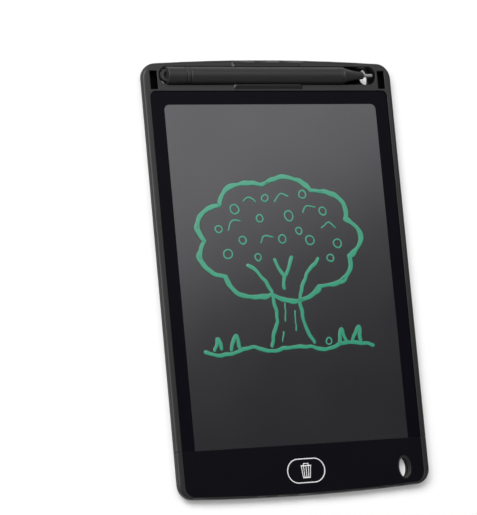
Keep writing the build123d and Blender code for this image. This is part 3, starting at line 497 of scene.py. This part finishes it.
# Which finish each piece of the frame gets
finishOf = {
    "sparkMattBack": ["back_cover", "battery_door"],
    "satinFront": ["front_frame", "lower_front_cover"],
    "pianoPanel": ["panel_overlay", "erase_button"],
    "whitePrint": ["button_ring", "button_mark"],
    "borderPrint": ["border_mask"],
    "writingFilm": ["writing_film", "rear_film"],
    "darkCrystal": ["crystal_layer"],
    "blackBacking": ["backing_sheet"],
    "foamTape": ["edge_tape"],
    "greyBoard": ["support_board"],
    "lacqueredBoard": ["circuit_board"],
    "switchBlack": ["switch_body", "flex_connector", "control_chip", "board_passives"],
    "plungerWhite": ["switch_plunger"],
    "amberTail": ["flex_tail"],
    "cellSteel": ["battery_cell"],
    "platedStrip": ["contact_negative", "contact_positive"],
    "blackenedSteel": ["housing_screws", "board_screws", "battery_door_screw"],
    "penPlastic": ["pen_cap", "pen_barrel", "pen_nose"],
    "nibPaintedShadeGrey": ["pen_nib"],
}
for finishName, pieceNames in finishOf.items():
    for pieceName in pieceNames:
        mesh = nodes[pieceName].data
        mesh.materials.clear()
        mesh.materials.append(finishes[finishName])
print("finished pieces:", sum(len(names) for names in finishOf.values()))

# Drawing on the screen: a fruit tree on a strip of ground, in the pale green lines that a pen
# leaves on the film. Sizes and points are millimetres: +X to the right, +Y towards the pen
drawing = {
    "filmTop": 4.8,  # the film's face, above the desk
    "height": 0.035,  # how far a line stands proud of the film
    "line": 2.3,
    "fineLine": 0.95,
    "pointsPerMillimetre": 2.2,
    "curveSteps": 24,  # from one given point to the next, before the points are spaced out
    "fewestPoints": 8,
    "sides": 10,
    "seed": 11,
    "waver": 0.3,
    "waverLength": 17.0,
    "waverWaves": 3,
    "swell": 0.09,  # how far a line's width drifts, as a share of it
    "swellPoints": 25,  # points to each swell
    "tip": 0.02,  # share of the width that is left at an open end
    "crown": {
        "middle": (-3.0, 19.0), "half": (43.0, 29.0), "lobes": 9, "lobeDepth": 0.13,
        "turn": 0.35, "points": 180,
    },
    "crownPasses": ((1.0, 2.3), (0.975, 1.5)),  # scale and line width of each
    "trunk": (
        ((-23, 7), (-15, 0), (-10, -9), (-8.5, -22), (-13, -36.5)),
        ((19, 9), (12, 1), (7, -8), (6.5, -22), (12, -36)),
        ((-7, 9), (-2, 0), (4, 10)),
        ((-2, 0.5), (-2.6, -7)),
    ),
    "ground": (
        ((-52, -37), (-40, -39.5), (-26, -36.2), (-12, -38.2), (3, -36.5), (18, -38.5),
         (33, -35.5), (47, -38)),
        ((-46, -37.5), (-43, -31), (-41, -37)),
        ((-37, -38), (-32.5, -29.5), (-31.5, -37)),
        ((26, -37), (28.5, -29), (31, -36)),
        ((34, -36), (38.5, -27.5), (39.5, -36)),
    ),
    "bark": (
        ((-3, -14), (-3.6, -24)),
        ((2.4, -18), (2.0, -29)),
        ((-5, -28), (-6.5, -34)),
    ),
    "leaves": (
        ((-32, 24), (-29, 29), (-24, 29)),
        ((-4, 38), (0, 42.5), (5, 41)),
        ((22, 24), (27, 27), (31, 24)),
        ((-14, 17), (-11, 21), (-6, 20)),
        ((12, 32), (15, 36), (20, 35)),
        ((-22, 39), (-18, 41), (-14, 38.5)),
    ),
    "fruit": (  # middle and radius of each
        (-33, 12, 2.4), (-24, 19, 1.9), (-27, 35, 2.5), (-13, 30, 2.0), (-9, 40.5, 1.8),
        (4, 31, 2.5), (-1, 19, 2.0), (15, 18, 2.4), (24, 33, 2.0), (31, 16, 2.3),
        (13, 42, 2.0), (9, 23, 1.7), (-37, 25, 1.8), (26, 8.5, 1.9), (-16, 10, 1.7),
        (20.5, -34.6, 1.6),
    ),
    "fruitPoints": 12,
    "material": {
        "colour": (0.020, 0.235, 0.135), "paler": (0.034, 0.345, 0.205), "roughness": 0.22,
        "specular": 0.66, "ior": 1.65, "streaks": (0.006, 0.0003, 1.0), "streakDetail": 3.0,
        "edgeStart": 0.62, "edgeEnd": 1.0,
    },
}


def evenTurn(count):
    # Angles of even steps round a full turn
    return np.arange(count) * 2 * np.pi / count


def distanceAlong(path):
    # From the path's start to each of its points: the running sum of its steps' lengths
    return np.concatenate(((0,), np.cumsum(np.linalg.norm(np.diff(path, axis=0), axis=1))))


def shareAlong(count, closed):
    # From 0 at the first point to 1 at the last, or at the first once more on a closed line
    return np.arange(count) / (count if closed else count - 1)


def smoothPath(points, closed, look):
    # Smooth curve through all points: between two of them, a cubic that leaves each one along
    # the line through its neighbours. New points are then spaced evenly along it
    points = np.array(points, float)
    if closed:
        around = np.vstack((points[-1:], points, points[:2]))
    else:
        around = np.vstack((2 * points[:1] - points[1:2], points, 2 * points[-1:] - points[-2:-1]))
    before, first, second, after = around[:-3], around[1:-2], around[2:-1], around[3:]
    fine = np.linspace(0, 1, look["curveSteps"], endpoint=False)[None, :, None]
    curve = 0.5 * (2 * first[:, None] + (second - before)[:, None] * fine
                   + (2 * before - 5 * first + 4 * second - after)[:, None] * fine ** 2
                   + (3 * first - before - 3 * second + after)[:, None] * fine ** 3)
    curve = np.vstack((curve.reshape(-1, 2), points[:1] if closed else points[-1:]))
    along = distanceAlong(curve)
    count = max(look["fewestPoints"], int(along[-1] * look["pointsPerMillimetre"]))
    places = np.linspace(0, along[-1], count, endpoint=not closed)
    return np.stack([np.interp(places, along, curve[:, axis]) for axis in (0, 1)], 1)


def waverPath(path, width, closed, look, hand):
    # Adds a slow waver, less on a fine line: a few sine waves of random phase, the second
    # half as long and half as wide as the first, the third a third, with whole numbers of
    # waves, so that a closed line still meets itself
    size = look["waver"] * min(1, width / look["line"])
    turns = max(1, round(len(path) / look["pointsPerMillimetre"] / look["waverLength"]))
    share = shareAlong(len(path), closed)[:, None]
    waves = [np.sin(2 * np.pi * turns * wave * share + hand.uniform(0, 2 * np.pi, (1, 2))) / wave
             for wave in range(1, look["waverWaves"] + 1)]
    return path + size * sum(waves)


def halfWidths(path, width, closed, look, hand):
    # Half the width, times 1 plus a slow sine wave of the swell. At an open end it also
    # shrinks along a quarter circle, over a stretch as long as half the width, to the tip
    count = len(path)
    swells = round(count / look["swellPoints"])
    wave = np.sin(2 * np.pi * (swells * shareAlong(count, closed) + hand.uniform()))
    half = width / 2 * (1 + look["swell"] * wave)
    if not closed:
        along = distanceAlong(path)
        toEnd = np.minimum(along, along[-1] - along)
        outwards = 1 - np.clip(toEnd / (width / 2), 0, 1)
        half *= np.sqrt(np.clip(1 - outwards ** 2, look["tip"] ** 2, 1))
    return half


def strokeBead(path, width, closed, look, hand):
    # A flat bead along a path: each ring is an ellipse across it, with the half width times
    # the cosine to the side and the height times the sine upwards, lower where it shrinks
    ahead = np.roll(path, -1, 0) - np.roll(path, 1, 0) if closed else np.gradient(path, axis=0)
    ahead /= np.linalg.norm(ahead, axis=1)[:, None]
    across = np.stack((-ahead[:, 1], ahead[:, 0]), 1)
    half = halfWidths(path, width, closed, look, hand)
    angle = evenTurn(look["sides"])
    flat = path[:, None, :] + across[:, None, :] * (half[:, None] * np.cos(angle))[:, :, None]
    height = look["height"] * np.minimum(half / (width / 2), 1)
    rise = look["filmTop"] + height[:, None] * np.sin(angle)
    return np.concatenate((flat, rise[:, :, None]), 2).reshape(-1, 3) / 1000  # now in metres


def beadFaces(count, sides, closed, start):
    # Four corners each, from ring to ring, and one flat face over each end of an open bead.
    # Start is the number of the bead's first point
    ring = np.arange(count if closed else count - 1)[:, None] * sides
    side = np.arange(sides)
    nextSide = (side + 1) % sides
    nextRing = (ring + sides) % (count * sides)
    corners = (ring + side, nextRing + side, nextRing + nextSide, ring + nextSide)
    faces = (start + np.stack(corners, 2).reshape(-1, 4)).tolist()
    if not closed:
        faces += [(start + side).tolist(), (start + (count - 1) * sides + side[::-1]).tolist()]
    return faces


def lobedLoop(look, scale):
    # Ellipse that swells in rounded lobes: the half sizes, times the scale, times
    # (1 + depth * |sin(lobes * (angle + turn) / 2)|)
    angle = evenTurn(look["points"])
    lobes = np.abs(np.sin(look["lobes"] * (angle + look["turn"]) / 2))
    swell = scale * (1 + look["lobeDepth"] * lobes)
    loop = np.stack((look["half"][0] * swell * np.cos(angle),
                     look["half"][1] * swell * np.sin(angle)), 1)
    return np.array(look["middle"]) + loop


def ringPath(x, y, radius, count):
    # Circle of the radius round the place
    angle = evenTurn(count)
    return np.stack((x + radius * np.cos(angle), y + radius * np.sin(angle)), 1)


def drawnLines(look):
    # Points, width, and whether it is closed, of each line in the order that they are drawn
    lines = [(lobedLoop(look["crown"], scale), width, True)
             for scale, width in look["crownPasses"]]
    for group, width in (("trunk", "line"), ("ground", "line"),
                         ("bark", "fineLine"), ("leaves", "fineLine")):
        lines += [(points, look[width], False) for points in look[group]]
    lines += [(ringPath(*place, look["fruitPoints"]), look["fineLine"], True)
              for place in look["fruit"]]
    return lines


def strokeFinish(look, filmColour):
    # Pale green with fine streaks, fading into the film's own colour at the sides of a line
    made, tree, shader = startMaterial("greenStroke", look)
    streaks = drawnNoise(tree, look["streaks"], look["streakDetail"])
    green = tint(tree, streaks, look["colour"], look["paler"])
    edge = tree.nodes.new("ShaderNodeAttribute")
    edge.attribute_name = "acrossLine"
    fade = mapRange(tree, edge.outputs["Fac"], look["edgeStart"], look["edgeEnd"])
    plug(tree, shader.inputs["Base Color"],
         mixColours(tree, "MIX", fade, green, (*filmColour, 1)))
    return made


def makeDrawing(look):
    # One bead for each line, all in one mesh. Each point keeps how far across its line it is,
    # from 0 in the middle to 1 at the sides
    hand = np.random.default_rng(look["seed"])
    beads, faces, start = [], [], 0
    for points, width, closed in drawnLines(look):
        path = waverPath(smoothPath(points, closed, look), width, closed, look, hand)
        beads.append(strokeBead(path, width, closed, look, hand))
        faces += beadFaces(len(path), look["sides"], closed, start)
        start += len(beads[-1])
    across = np.tile(np.abs(np.cos(evenTurn(look["sides"]))), start // look["sides"])
    mesh = bpy.data.meshes.new("screen_drawing")
    mesh.from_pydata(np.vstack(beads).tolist(), [], faces)
    mesh.attributes.new("acrossLine", "FLOAT", "POINT").data.foreach_set("value", across)
    mesh.polygons.foreach_set("use_smooth", np.ones(len(mesh.polygons), bool))
    mesh.materials.append(strokeFinish(look["material"], filmLook["colour"]))
    made = bpy.data.objects.new("screen_drawing", mesh)
    bpy.context.scene.collection.objects.link(made)
    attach(made, "root")
    return made


screenDrawing = makeDrawing(drawing)
print("drawing:", len(screenDrawing.data.polygons), "faces")

# Floor under the rear pads: white that keeps the shadow, lifted by a share of plain white
# where the camera, gloss or clear pieces see it
floorLook = {
    "colour": (0.97, 0.97, 0.97),
    "roughness": 0.9,
    "specular": 0.0,
    "size": 8.0,
    "glow": 1.0,
    "glowShare": 0.25,
}


def paleFloor(look):
    made, tree, shader = startMaterial("paleFloor", look)
    glow = addNode(tree, "ShaderNodeEmission", Strength=look["glow"])
    share = mapRange(tree, plainlySeen(tree), 0.0, 1.0, 0.0, look["glowShare"])
    lifted = mixShaders(tree, share, shader.outputs[0], glow.outputs[0])
    plug(tree, tree.nodes["Material Output"].inputs["Surface"], lifted)
    return made


bpy.ops.mesh.primitive_plane_add(size=floorLook["size"])
floor = bpy.context.object
floor.name = "floor"
floor.data.materials.append(paleFloor(floorLook))
print("floor: in place")
